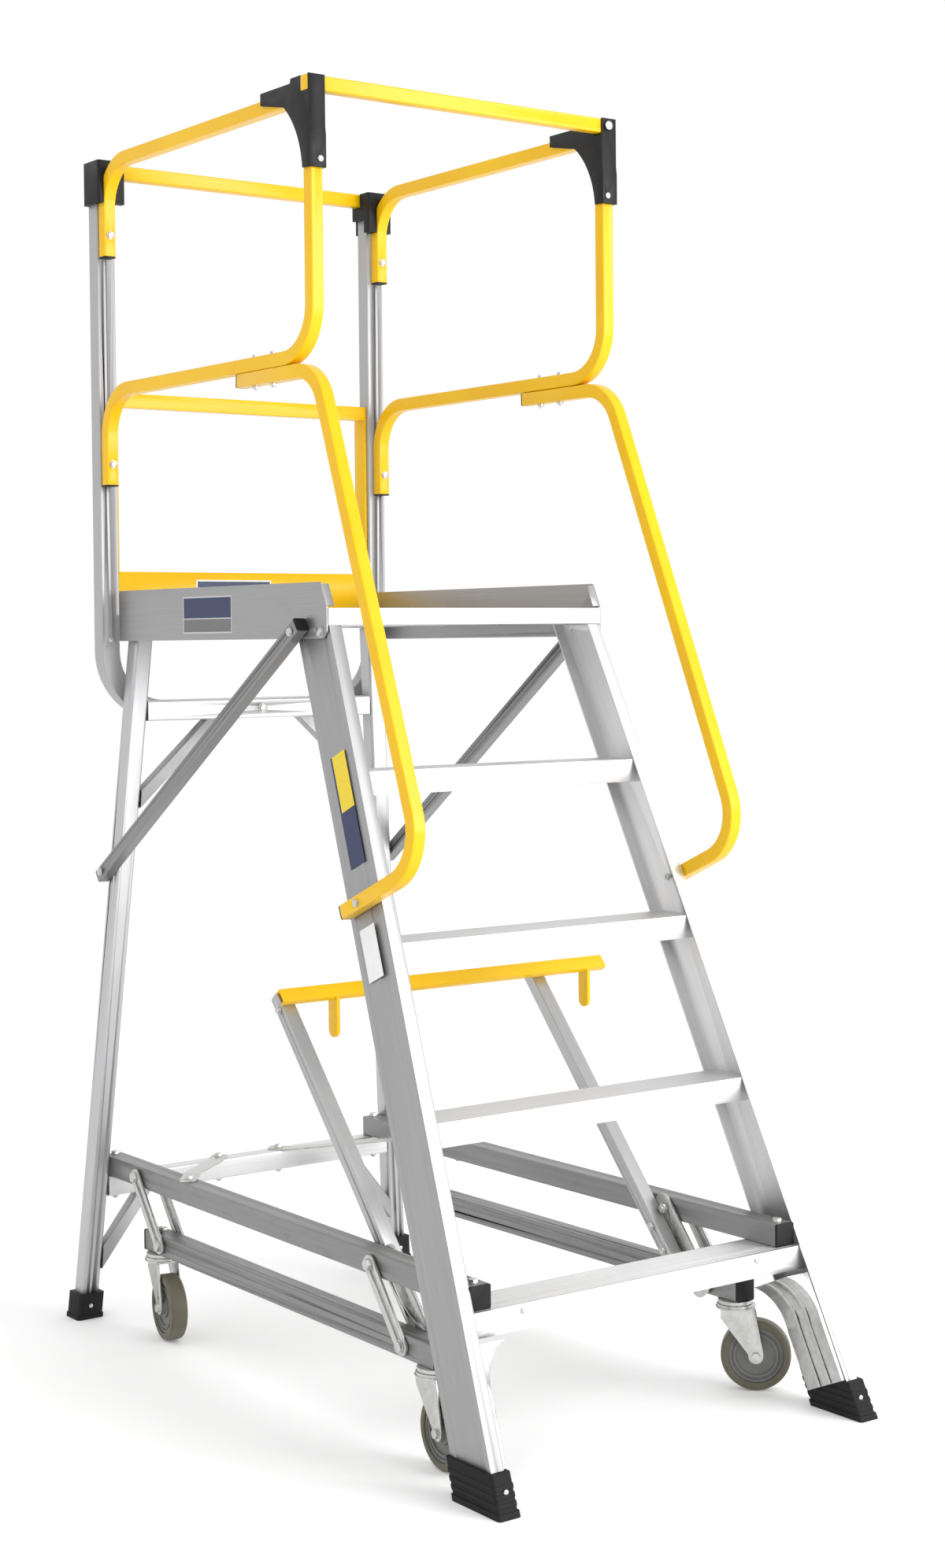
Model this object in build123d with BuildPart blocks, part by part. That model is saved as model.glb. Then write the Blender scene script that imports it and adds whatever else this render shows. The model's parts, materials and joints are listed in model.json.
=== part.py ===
from build123d import *
import os
from math import cos, hypot, radians, sin

os.makedirs("parts", exist_ok=True)

# Rolling warehouse ladder with a guarded platform and lever-lowered castors.
# All sizes in millimetres. +Z is up, +Y is the climbing direction, X runs across.
# Sizes below are written from the ladder's centre line and from the stile front
# plane at platform height; CX and CY move them so that the origin is at the
# bottom centre of the bounding box.
CX = -18.75
CY = -100.45

# Steps and stiles
RISE = 280.0
DECK_Z = 5 * RISE
LEAN = 0.439
SPLAY = 0.071
STILE_HALF = 397.9
STILE_DEPTH = 107.0
STILE_FLANGE = 25.2
STILE_WALL = 3.2
STILE_BOTTOM = 12.0
STILE_TOP = 1370.0
RIB_BAND = 13.0
RIB_PROUD = 1.2
TREAD_FACE = 41.5
TREAD_DEPTH = 93.0
TREAD_BACKSET = 3.5

# Platform
DECK_HALF = 302.2
DECK_FRONT = -15.0
DECK_BACK = 790.0
DECK_EDGE = 29.0
PLATE_IN = 302.5
PLATE_OUT = 305.5
PLATE_BACK = 743.0
PLATE_LIP = 14.0

# Rear legs
LEG_OUT = 393.3
LEG_SPLAY = 0.074
LEG_FRONT = 780.6
LEG_LEAN = 0.063
LEG_X = 38.0
LEG_Y = 37.0
LEG_BOTTOM = 8.0
LEG_TOP = 1370.0

# Guard tubes
TUBE = 25.0
WALL = 1.8
LOOP_X = 322.5
LOOP_TOP = 2283.0
LOOP_MID = 1837.5
LOOP_FRONT = -12.0
LOOP_BACK = 740.2
LOOP_BEND = 88.0
POST_X = 319.0
POST_Y = 770.0
POST_WIDE = 40.0
POST_DEEP = 34.0
POST_TOP = 2285.0
POST_BEND = 120.0
CROSS_Z = 1208.0
FRAME_HALF = 298.7
FRAME_FLAT = 5.0
FRAME_FRONT = 760.5
FRAME_DEEP = 38.0
FRAME_TALL = 28.0
FRAME_TOP = 1840.0
TOE_TALL = 85.0

# Castor rails and linkage
RAIL = 40.0
RAIL_WALL = 2.5
RAIL_Z = 300.0
RAIL_FRONT = -473.0
RAIL_BACK = 790.0
RAIL_X_FRONT = 330.0
RAIL_YAW = 0.01504
LINK = 150.0
LINK_ANGLE = 38.0
PIVOT_FRONT = -193.0
PIVOT_BACK = 646.0
PIN_R = 6.0
PIN_CLEAR = 0.05
LOWER_DY = -LINK * sin(radians(LINK_ANGLE))
LOWER_DZ = -LINK * cos(radians(LINK_ANGLE))
LOWER_Z = RAIL_Z + LOWER_DZ
CARRIER_FRONT = -372.0
CARRIER_BACK = 617.0
STEM_FRONT = -350.0
STEM_BACK = 584.0
OUTER_LINK_FRONT = 348.4
INNER_LINK_FRONT = 299.6
OUTER_LINK_BACK = 335.8
INNER_LINK_BACK = 287.0
LINK_THICK = 5.0
LINK_WIDE = 30.0

# Corner straps
STRAP_HIGH = 320.2
STRAP_LOW = 280.1
STRAP_THICK = 3.0
STRAP_WIDE = 32.0
STRAP_FLAT = 58.0
STRAP_RAIL_Y = 476.0
STRAP_CROSS_X = 72.0
STRAP_CROSS_Y = 783.0

# Lever
ARM_ANGLE = 41.0
ARM_TOP = 553.0
ARM_FOOT = -110.0
ARM_X0 = 270.0
ARM_X1 = 299.4
ARM_BEHIND = 11.0
ARM_DEEP = 25.0
HANDLE_LEFT = -300.0
HANDLE_RIGHT = 445.0

# Castors
WHEEL_R = 62.5
AXLE_Z = 63.5
TRAIL = 36.0
TYRE_WIDE = 32.0
HUB_R = 49.0
AXLE_R = 5.0
CROWN_R = 35.0
CROWN_TOP = 154.6
CROWN_BOTTOM = 147.0
FORK_GAP = 19.0
FORK_WALL = 3.0

# Gate
GATE_PIVOT_X = 320.0
GATE_PIVOT_Z = 2300.0
GATE_Y0 = -25.0
GATE_Y1 = -3.0
GATE_TALL = 26.0
GATE_END = -340.0

CENTRE = Plane(origin=(CX, 0, 0), x_dir=(0, 1, 0), z_dir=(1, 0, 0))


def across(x):
    """Plane facing +X: local x is +Y, local y is +Z."""
    return Plane(origin=(x + CX, CY, 0), x_dir=(0, 1, 0), z_dir=(1, 0, 0))


def facing(y):
    """Plane facing -Y: local x is +X, local y is +Z."""
    return Plane(origin=(CX, y + CY, 0), x_dir=(1, 0, 0), z_dir=(0, -1, 0))


def level(z):
    """Plane facing +Z: local x is +X, local y is +Y."""
    return Plane(origin=(CX, CY, z), x_dir=(1, 0, 0), z_dir=(0, 0, 1))


def at(x, y, z):
    """A point given from the ladder's own centre line."""
    return Vector(x + CX, y + CY, z)


def rail_x(y):
    """Centre line of the yawed castor rails."""
    return RAIL_X_FRONT - RAIL_YAW * (y - RAIL_FRONT)


def block(x0, x1, y0, y1, z0, z1, r=0.0, mode=Mode.ADD):
    """A box between two corners, with its upright edges rounded by r."""
    with BuildSketch(level(z0)) as base:
        with Locations(((x0 + x1) / 2, (y0 + y1) / 2)):
            if r > 0:
                RectangleRounded(x1 - x0, y1 - y0, r)
            else:
                Rectangle(x1 - x0, y1 - y0)
    extrude(base.sketch, amount=z1 - z0, mode=mode)


def sheared(x0, x1, y0, y1, z0, z1, r, dx, dy, mode=Mode.ADD):
    """A level rounded rectangle, given at floor height, carried up a sloping line."""
    mx = (x0 + x1) / 2 + dx * z0
    my = (y0 + y1) / 2 + dy * z0
    with BuildSketch(level(z0)) as base:
        with Locations((mx, my)):
            RectangleRounded(x1 - x0, y1 - y0, r)
    run = (z1 - z0) * hypot(1.0, dx, dy)
    extrude(base.sketch, amount=run, dir=(dx, dy, 1.0), mode=mode)


def disc(plane, u, v, r, thick, mode=Mode.ADD):
    """A round disc or hole standing on a plane."""
    with BuildSketch(plane) as face:
        with Locations((u, v)):
            Circle(r)
    extrude(face.sketch, amount=thick, mode=mode)


def tube_along(path, wide, tall, wall, corner, x_dir):
    """A square tube swept along a path; wall 0 makes it solid."""
    start = Plane(origin=path @ 0, x_dir=x_dir, z_dir=path % 0)
    with BuildSketch(start) as skin:
        RectangleRounded(wide, tall, corner)
        if wall > 0:
            inner = max(corner - wall, 0.4)
            RectangleRounded(wide - 2 * wall, tall - 2 * wall, inner, mode=Mode.SUBTRACT)
    sweep(skin.sketch, path=path)


def bolt(plane, u, v, back, head_r=8.0, head_t=5.0, shank_r=3.0, nut_r=0.0, nut_t=5.0):
    """Hexagon head on a plane, shank running back from it, nut at the far end."""
    disc(plane, u, v, head_r * 1.12, 1.2)
    with BuildSketch(plane.offset(1.2)) as head:
        with Locations((u, v)):
            RegularPolygon(head_r, 6)
    extrude(head.sketch, amount=head_t)
    disc(plane, u, v, shank_r, -back)
    if nut_r > 0:
        with BuildSketch(plane.offset(-back)) as nut:
            with Locations((u, v)):
                RegularPolygon(nut_r, 6)
        extrude(nut.sketch, amount=-nut_t)
        disc(plane.offset(-back - nut_t), u, v, shank_r, -3.0)


def rivet(plane, u, v, back, head_r=6.0, head_t=2.6, shank_r=2.4):
    """Domed rivet head on a plane with its shank running back."""
    centre = plane.from_local_coords(Vector(u, v, 0))
    foot = Plane(origin=centre, x_dir=plane.x_dir, z_dir=plane.z_dir)
    with BuildSketch(foot.rotated((90, 0, 0))) as dome:
        with BuildLine():
            Line((0, 0), (head_r, 0))
            Spline((head_r, 0), (head_r * 0.72, head_t * 0.78), (0, head_t),
                   tangents=[(0, 1), (-1, 0)])
            Line((0, head_t), (0, 0))
        make_face()
    revolve(dome.sketch, axis=Axis(centre, foot.z_dir))
    disc(plane, u, v, shank_r, -back)


def mirrored(piece):
    """The same piece on the other side of the centre line."""
    with BuildPart() as twin:
        mirror(piece.part, about=CENTRE)
    return twin


def save(piece, name):
    """Label a piece and write its STEP file."""
    piece.part.label = name
    export_step(piece.part, "parts/" + name + ".step")


# ---------------------------------------------------------------- fasteners
with BuildPart() as frame_bolts:
    for side in (1, -1):
        out = Plane(origin=(CX, CY, 0), x_dir=(0, side, 0), z_dir=(side, 0, 0))
        # stile top and brace top, through the side plate
        bolt(out.offset(PLATE_OUT), side * 6, 1359, 10, head_r=8, shank_r=4)
        # link pivots through the fixed rails
        front_span = OUTER_LINK_FRONT + LINK_THICK + 0.3 - INNER_LINK_FRONT + 0.3
        bolt(out.offset(OUTER_LINK_FRONT + LINK_THICK + 0.3), side * PIVOT_FRONT, RAIL_Z,
             front_span, head_r=10, shank_r=PIN_R, nut_r=9.5, nut_t=8)
        back_span = OUTER_LINK_BACK + LINK_THICK + 0.3 - INNER_LINK_BACK + 0.3
        bolt(out.offset(OUTER_LINK_BACK + LINK_THICK + 0.3), side * PIVOT_BACK, RAIL_Z,
             back_span, head_r=10, shank_r=PIN_R, nut_r=9.5, nut_t=8)
        # loop ends, in front of the posts
        bolt(facing(LOOP_BACK - 12.5), side * LOOP_X, 2144, 63, head_r=7, shank_r=3, nut_r=6.5)
        bolt(facing(LOOP_BACK - 12.5), side * LOOP_X, 1695, 63, head_r=7, shank_r=3, nut_r=6.5)
        # handrail bolts, nuts underneath
        for y in (185, 125):
            bolt(level(LOOP_MID + 12.5), side * LOOP_X, y, 50, head_r=6.5, head_t=4,
                 shank_r=3, nut_r=7)
        # fixed rails to first tread and to the cross-member
        bolt(level(RAIL_Z + 20), side * rail_x(-457), -457, 44, head_r=8, shank_r=4, nut_r=7.5)
        bolt(level(RAIL_Z + 20), side * rail_x(781), 781, 80, head_r=8, shank_r=4, nut_r=7.5)
        # corner straps, to the rails and to the cross-member
        bolt(level(STRAP_HIGH + STRAP_THICK), side * rail_x(STRAP_RAIL_Y), STRAP_RAIL_Y, 43,
             head_r=8, shank_r=4, nut_r=7.5)
        bolt(level(STRAP_LOW + STRAP_THICK), side * STRAP_CROSS_X, STRAP_CROSS_Y, 43,
             head_r=8, shank_r=4, nut_r=7.5)
        # handrail foot through the stile, brace ends through plate and leg
        bolt(out.offset(360.2), side * -179, 905, 36, head_r=6.5, head_t=3, shank_r=3, nut_r=7)
        bolt(out.offset(332.0), side * 65, 1359, 34, head_r=7, head_t=3, shank_r=3)
        bolt(out.offset(354.4), side * 744, 892, 30, head_r=7, head_t=3, shank_r=3)
    bolt(facing(705.0), 0, CROSS_Z, 82, head_r=9, shank_r=4, nut_r=8)

with BuildPart() as frame_rivets:
    for side in (1, -1):
        out = Plane(origin=(CX, CY, 0), x_dir=(0, side, 0), z_dir=(side, 0, 0))
        rivet(out.offset(PLATE_OUT), side * 703, 1352, 10)
        rivet(facing(POST_Y - 17), side * 319, 1350, 8)
        rivet(facing(-30.0), side * 318, 2170, 8)
        rivet(facing(728.0), side * 318, 2262, 6)
        rivet(facing(LEG_FRONT - 8.0), side * 374, 26, 10, head_r=5)
        rivet(facing(LEAN * (36 - DECK_Z) - 9.6), side * 381, 36, 10, head_r=5)
    for x in (-253, 253):
        rivet(facing(LEAN * (RISE - DECK_Z) + TREAD_BACKSET), x, 268, 2.5, head_r=5)

# ---------------------------------------------------------------- stiles
with BuildPart() as stile_right:
    w = STILE_HALF - SPLAY * STILE_BOTTOM
    f = LEAN * (STILE_BOTTOM - DECK_Z)
    d = STILE_DEPTH
    with BuildSketch(level(STILE_BOTTOM)) as section:
        with BuildLine():
            Polyline(
                (w - STILE_FLANGE, f), (w, f), (w, f + RIB_BAND),
                (w - RIB_PROUD, f + RIB_BAND + RIB_PROUD),
                (w - RIB_PROUD, f + d - RIB_BAND - RIB_PROUD),
                (w, f + d - RIB_BAND), (w, f + d), (w - STILE_FLANGE, f + d),
                (w - STILE_FLANGE, f + d - STILE_WALL), (w - STILE_WALL, f + d - STILE_WALL),
                (w - STILE_WALL, f + STILE_WALL), (w - STILE_FLANGE, f + STILE_WALL),
                close=True)
        make_face()
    extrude(section.sketch, amount=(STILE_TOP - STILE_BOTTOM) * hypot(1, SPLAY, LEAN),
            dir=(-SPLAY, LEAN, 1), mode=Mode.ADD)
stile_solid = stile_right
with BuildPart() as stile_right:
    add(stile_solid.part)
    add(frame_bolts.part, mode=Mode.SUBTRACT)
    add(frame_rivets.part, mode=Mode.SUBTRACT)
stile_left = mirrored(stile_right)
save(stile_right, "stile_right")
save(stile_left, "stile_left")


# ---------------------------------------------------------------- treads
def tread(index):
    """A hollow-backed tread with a ribbed top and a deep front face."""
    top = RISE * index
    front = LEAN * (top - DECK_Z) + TREAD_BACKSET
    half = STILE_HALF - SPLAY * top - STILE_WALL - 0.2
    back = front + TREAD_DEPTH
    with BuildPart() as piece:
        with BuildSketch(across(-half)) as section:
            with BuildLine():
                Polyline(
                    (front, top - TREAD_FACE), (front, top), (back, top), (back, top - 14),
                    (back - 3, top - 14), (back - 3, top - 4), (front + 3, top - 4),
                    (front + 3, top - TREAD_FACE + 3), (front + 16, top - TREAD_FACE + 3),
                    (front + 16, top - TREAD_FACE), close=True)
            make_face()
            with GridLocations(6, 1, 14, 1):
                with Locations((front + 48, top)):
                    Rectangle(1.2, 1.2, mode=Mode.SUBTRACT)
        extrude(section.sketch, amount=2 * half)
        if index == 1:
            add(frame_bolts.part, mode=Mode.SUBTRACT)
            add(frame_rivets.part, mode=Mode.SUBTRACT)
    return piece


for index in (1, 2, 3, 4):
    save(tread(index), "tread_" + str(index))

# ---------------------------------------------------------------- platform
with BuildPart() as platform_deck:
    low = DECK_Z - DECK_EDGE
    with BuildSketch(across(-DECK_HALF)) as section:
        with BuildLine():
            Polyline(
                (DECK_FRONT, low), (DECK_FRONT, DECK_Z), (PLATE_BACK + 2, DECK_Z),
                (PLATE_BACK + 2, low), (PLATE_BACK - 1, low), (PLATE_BACK - 1, DECK_Z - 4),
                (DECK_FRONT + 4, DECK_Z - 4), (DECK_FRONT + 4, low), close=True)
        make_face()
        with GridLocations(8, 1, 92, 1):
            with Locations((366, DECK_Z)):
                Rectangle(3, 2.4, mode=Mode.SUBTRACT)
        for y in (150, 300, 450, 600):
            with Locations((y, DECK_Z - DECK_EDGE / 2 - 1)):
                Rectangle(3, DECK_EDGE - 4)
    extrude(section.sketch, amount=2 * DECK_HALF)
    block(-298.4, 298.4, PLATE_BACK + 2, DECK_BACK, DECK_Z - 4, DECK_Z)
save(platform_deck, "platform_deck")

with BuildPart() as side_plate_right:
    with BuildSketch(across(PLATE_IN)) as face:
        with BuildLine():
            Polyline((-2, 1347), (-13, 1358), (-13, 1402), (7, 1446), (PLATE_BACK, 1446),
                     (PLATE_BACK, 1347), close=True)
        make_face()
        fillet(face.vertices(), 4)
    extrude(face.sketch, amount=PLATE_OUT - PLATE_IN)
    # narrow lip turned inward along the slanted front edge
    with BuildSketch(across(PLATE_IN - PLATE_LIP)) as lip:
        with BuildLine():
            Polyline((-12, 1404.2), (5.5, 1442.7), (8.2, 1441.5), (-9.3, 1403), close=True)
        make_face()
    extrude(lip.sketch, amount=PLATE_LIP + 1)
    add(frame_bolts.part, mode=Mode.SUBTRACT)
    add(frame_rivets.part, mode=Mode.SUBTRACT)
side_plate_left = mirrored(side_plate_right)
save(side_plate_right, "side_plate_right")
save(side_plate_left, "side_plate_left")

# ---------------------------------------------------------------- front shoes and knee braces
SLOPE = hypot(1.0, LEAN)
stile_face = Plane(origin=at(0, -LEAN * DECK_Z, 0), x_dir=(1, 0, 0), z_dir=(0, -1, LEAN))


def knee_outline(shift, reach):
    """Curved inner edge, from under the first tread down to the shoe."""
    base = 64.0
    head = RISE - TREAD_FACE - 0.5
    Line((361 + shift, base * SLOPE), (353 + shift, 160 * SLOPE))
    ThreePointArc((353 + shift, 160 * SLOPE), (341 + shift, 208 * SLOPE), (305 + shift, head * SLOPE))
    Line((305 + shift, head * SLOPE), (377.0 + reach, head * SLOPE))
    Line((377.0 + reach, head * SLOPE), (389.6 + reach, base * SLOPE))
    Line((389.6 + reach, base * SLOPE), (361 + shift, base * SLOPE))


with BuildPart() as knee_right:
    with BuildSketch(stile_face.offset(-3.3)) as web:
        with BuildLine():
            knee_outline(0, 0)
        make_face()
    extrude(web.sketch, amount=-91.0)
    for near in (-30.0, -58.0):
        with BuildSketch(stile_face.offset(near)) as rib:
            with BuildLine():
                knee_outline(-2.2, -30)
            make_face()
        extrude(rib.sketch, amount=-9.0)
    with BuildSketch(stile_face.offset(-6.3)) as hollow:
        with BuildLine():
            knee_outline(3.0, 20)
        make_face()
    extrude(hollow.sketch, amount=-85.0, mode=Mode.SUBTRACT)
    block(250, 420, -620, -300, RISE - TREAD_FACE - 0.4, 400, mode=Mode.SUBTRACT)
with BuildPart() as knee_braces:
    add(knee_right.part)
    mirror(knee_right.part, about=CENTRE)
save(knee_braces, "knee_braces")

with BuildPart() as shoe_right:
    y0 = -LEAN * DECK_Z - 9.6
    sheared(366.5, 405, y0, y0 + 122, 0, 62, 5, -SPLAY, LEAN)
    sheared(364.0, 407.5, y0 - 2.5, y0 + 124.5, 0, 9, 6, -SPLAY, LEAN)
    for low in (16, 28, 40):
        sheared(365.3, 406.2, y0 - 1.2, y0 + 123.2, low, low + 6, 6, -SPLAY, LEAN)
    add(stile_solid.part, mode=Mode.SUBTRACT)
    add(knee_right.part, mode=Mode.SUBTRACT)
    sheared(371, 393, y0 + 14, y0 + 106, 30, 70, 3, -SPLAY, LEAN, mode=Mode.SUBTRACT)
    add(frame_rivets.part, mode=Mode.SUBTRACT)
with BuildPart() as front_shoes:
    add(shoe_right.part)
    mirror(shoe_right.part, about=CENTRE)
save(front_shoes, "front_shoes")

# ---------------------------------------------------------------- rear legs
with BuildPart() as rear_leg_right:
    sheared(LEG_OUT - LEG_X, LEG_OUT, LEG_FRONT, LEG_FRONT + LEG_Y, LEG_BOTTOM, LEG_TOP, 6,
            -LEG_SPLAY, -LEG_LEAN)
    sheared(LEG_OUT - LEG_X + 2, LEG_OUT - 2, LEG_FRONT + 2, LEG_FRONT + LEG_Y - 2,
            LEG_BOTTOM - 2, LEG_TOP + 2, 4, -LEG_SPLAY, -LEG_LEAN, mode=Mode.SUBTRACT)
    add(frame_bolts.part, mode=Mode.SUBTRACT)
    add(frame_rivets.part, mode=Mode.SUBTRACT)
rear_leg_left = mirrored(rear_leg_right)
save(rear_leg_right, "rear_leg_right")
save(rear_leg_left, "rear_leg_left")

with BuildPart() as foot_right:
    a = LEG_OUT - LEG_X - 8
    b = LEG_OUT + 8
    c = LEG_FRONT - 8
    e = LEG_FRONT + LEG_Y + 8
    sheared(a, b, c, e, 0, 50, 7, -LEG_SPLAY, -LEG_LEAN)
    sheared(a - 2, b + 2, c - 2, e + 2, 0, 8, 8, -LEG_SPLAY, -LEG_LEAN)
    sheared(LEG_OUT - LEG_X - 0.1, LEG_OUT + 0.1, LEG_FRONT - 0.1, LEG_FRONT + LEG_Y + 0.1,
            LEG_BOTTOM - 0.1, 60, 6, -LEG_SPLAY, -LEG_LEAN, mode=Mode.SUBTRACT)
    add(frame_rivets.part, mode=Mode.SUBTRACT)
with BuildPart() as rear_feet:
    add(foot_right.part)
    mirror(foot_right.part, about=CENTRE)
save(rear_feet, "rear_feet")

# ---------------------------------------------------------------- cross-members
with BuildPart() as upper_cross_tube:
    half = 264.0
    with BuildSketch(across(-half)) as section:
        with Locations((724, CROSS_Z)):
            RectangleRounded(38, 40, 4)
            RectangleRounded(34, 36, 2, mode=Mode.SUBTRACT)
    extrude(section.sketch, amount=2 * half)
    add(frame_bolts.part, mode=Mode.SUBTRACT)
save(upper_cross_tube, "upper_cross_tube")

with BuildPart() as lower_cross_member:
    half = 334.0
    with BuildSketch(across(-half)) as section:
        with Locations((782, 260)):
            RectangleRounded(38, 39.9, 4)
            RectangleRounded(34, 35.9, 2, mode=Mode.SUBTRACT)
    extrude(section.sketch, amount=2 * half)
    add(frame_bolts.part, mode=Mode.SUBTRACT)
save(lower_cross_member, "lower_cross_member")


with BuildPart() as strap_right:
    strap_dir = at(STRAP_CROSS_X, STRAP_CROSS_Y, 0) - at(rail_x(STRAP_RAIL_Y), STRAP_RAIL_Y, 0)
    span = strap_dir.length
    lay = Plane(origin=at(rail_x(STRAP_RAIL_Y), STRAP_RAIL_Y, 0), x_dir=strap_dir,
                z_dir=strap_dir.cross(Vector(0, 0, 1)))
    with BuildSketch(lay.offset(-STRAP_WIDE / 2)) as bend:
        with BuildLine():
            Polyline(
                (-20, STRAP_HIGH), (STRAP_FLAT, STRAP_HIGH), (span - 30, STRAP_LOW), (span + 20, STRAP_LOW),
                (span + 20, STRAP_LOW + STRAP_THICK), (span - 30, STRAP_LOW + STRAP_THICK),
                (STRAP_FLAT, STRAP_HIGH + STRAP_THICK), (-20, STRAP_HIGH + STRAP_THICK),
                close=True)
        make_face()
    extrude(bend.sketch, amount=STRAP_WIDE)
    fillet(strap_right.edges().filter_by(Axis.Z), 9)
    add(frame_bolts.part, mode=Mode.SUBTRACT)
with BuildPart() as corner_straps:
    add(strap_right.part)
    mirror(strap_right.part, about=CENTRE)
save(corner_straps, "corner_straps")


def gusset(x_in, z_in, x_out, z_out, y, wide):
    """A square tube between the underside of a cross-member and a leg."""
    start = at(x_in, y, z_in)
    end = at(x_out, y, z_out)
    path = Edge.make_line(start, end)
    tube_along(path, wide, wide, 2.0, 3.0, (0, 1, 0))


with BuildPart() as gussets_right:
    gusset(85, 1211, 296, 1018, 724, 25)
    gusset(217, 281, 384, 70, 783, 25)
    block(60, 262, 700, 760, CROSS_Z - 20.2, 1300, mode=Mode.SUBTRACT)
    block(150, 330, 750, 830, 239.8, 330, mode=Mode.SUBTRACT)
    sheared(LEG_OUT - LEG_X - 0.2, LEG_OUT + 60, LEG_FRONT - 60, LEG_FRONT + LEG_Y + 60, 0, 1300,
            0.5, -LEG_SPLAY, -LEG_LEAN, mode=Mode.SUBTRACT)
with BuildPart() as leg_gussets:
    add(gussets_right.part)
    mirror(gussets_right.part, about=CENTRE)
save(leg_gussets, "leg_gussets")

# ---------------------------------------------------------------- side braces
BRACE_TOP = at(319.0, 66, 1361)
BRACE_LOW = at(341.2, 744, 892)
brace_dir = (BRACE_LOW - BRACE_TOP).normalized()
brace_start = BRACE_TOP - brace_dir * 18
brace_end = BRACE_LOW + brace_dir * 20
with BuildPart() as brace_right:
    tube_along(Edge.make_line(brace_start, brace_end), 25, 25, 2.0, 3.0, (1, 0, 0))
    add(frame_bolts.part, mode=Mode.SUBTRACT)
    block(280, 305.6, -10, 760, 1340, 1450, mode=Mode.SUBTRACT)
    sheared(LEG_OUT - LEG_X - 40, LEG_OUT + 0.05, LEG_FRONT - 20, LEG_FRONT + LEG_Y + 20, 0, 1300,
            0.5, -LEG_SPLAY, -LEG_LEAN, mode=Mode.SUBTRACT)
with BuildPart() as side_braces:
    add(brace_right.part)
    mirror(brace_right.part, about=CENTRE)
save(side_braces, "side_braces")

# ---------------------------------------------------------------- rear posts and guard
with BuildPart() as rear_uframe:
    with BuildLine(facing(POST_Y)) as line:
        FilletPolyline((-POST_X, POST_TOP), (-POST_X, CROSS_Z), (POST_X, CROSS_Z),
                       (POST_X, POST_TOP), radius=POST_BEND)
    tube_along(line.wires()[0], POST_WIDE, POST_DEEP, 2.0, 3.0, (1, 0, 0))
    add(frame_bolts.part, mode=Mode.SUBTRACT)
    add(frame_rivets.part, mode=Mode.SUBTRACT)
save(rear_uframe, "rear_uframe")


def loop_path():
    """Centre line of a side guard loop, open at the rear post."""
    with BuildLine(across(LOOP_X)) as line:
        FilletPolyline((LOOP_BACK, 2103), (LOOP_BACK, LOOP_TOP), (LOOP_FRONT, LOOP_TOP),
                       (LOOP_FRONT, LOOP_MID), (LOOP_BACK, LOOP_MID), (LOOP_BACK, 1655),
                       radius=LOOP_BEND)
    return line.wires()[0]


with BuildPart() as guard_loop_right:
    tube_along(loop_path(), TUBE, TUBE, WALL, 3.0, (1, 0, 0))
    add(frame_bolts.part, mode=Mode.SUBTRACT)
    add(frame_rivets.part, mode=Mode.SUBTRACT)
guard_loop_left = mirrored(guard_loop_right)
save(guard_loop_right, "guard_loop_right")
save(guard_loop_left, "guard_loop_left")
with BuildPart() as loop_sheath:
    tube_along(loop_path(), TUBE + 0.3, TUBE + 0.3, 0, 3.1, (1, 0, 0))

with BuildPart() as rear_top_rail:
    half = 293.8
    with BuildSketch(across(-half)) as section:
        with Locations((772, 2276)):
            RectangleRounded(TUBE, 27, 3)
            RectangleRounded(TUBE - 2 * WALL, 27 - 2 * WALL, 1.2, mode=Mode.SUBTRACT)
    extrude(section.sketch, amount=2 * half)
save(rear_top_rail, "rear_top_rail")

with BuildPart() as bracket_right:
    block(288, 347, 728, 792, 2207, 2290, 5)
    block(298.8, 339.2, 752.8, 787.2, 2190, POST_TOP + 0.2, mode=Mode.SUBTRACT)
    block(280, 294, 759.3, 784.7, 2262.3, 2300, mode=Mode.SUBTRACT)
    block(280, 298.9, 745, 800, 2200, 2236, mode=Mode.SUBTRACT)
    add(loop_sheath.part, mode=Mode.SUBTRACT)
    add(frame_rivets.part, mode=Mode.SUBTRACT)
with BuildPart() as rear_brackets:
    add(bracket_right.part)
    mirror(bracket_right.part, about=CENTRE)
save(rear_brackets, "rear_brackets")

with BuildPart() as rear_inner_frame:
    # upright flats against the inner faces of the posts
    for side in (1, -1):
        x = side * (FRAME_HALF - FRAME_FLAT / 2)
        block(x - FRAME_FLAT / 2, x + FRAME_FLAT / 2, FRAME_FRONT, FRAME_FRONT + FRAME_DEEP,
              DECK_Z + 0.2, FRAME_TOP)
    # mid rail between the flats
    with BuildSketch(across(-FRAME_HALF + 1)) as section:
        with Locations((FRAME_FRONT + TUBE / 2, FRAME_TOP - FRAME_TALL / 2)):
            Rectangle(TUBE, FRAME_TALL)
            Rectangle(TUBE - 2 * WALL, FRAME_TALL - 2 * WALL, mode=Mode.SUBTRACT)
    extrude(section.sketch, amount=2 * FRAME_HALF - 2)
save(rear_inner_frame, "rear_inner_frame")

with BuildPart() as toe_board:
    block(-298.5, 298.5, FRAME_FRONT - 3.5, FRAME_FRONT - 0.2, DECK_Z + 0.2, DECK_Z + TOE_TALL)
save(toe_board, "toe_board")

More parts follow.
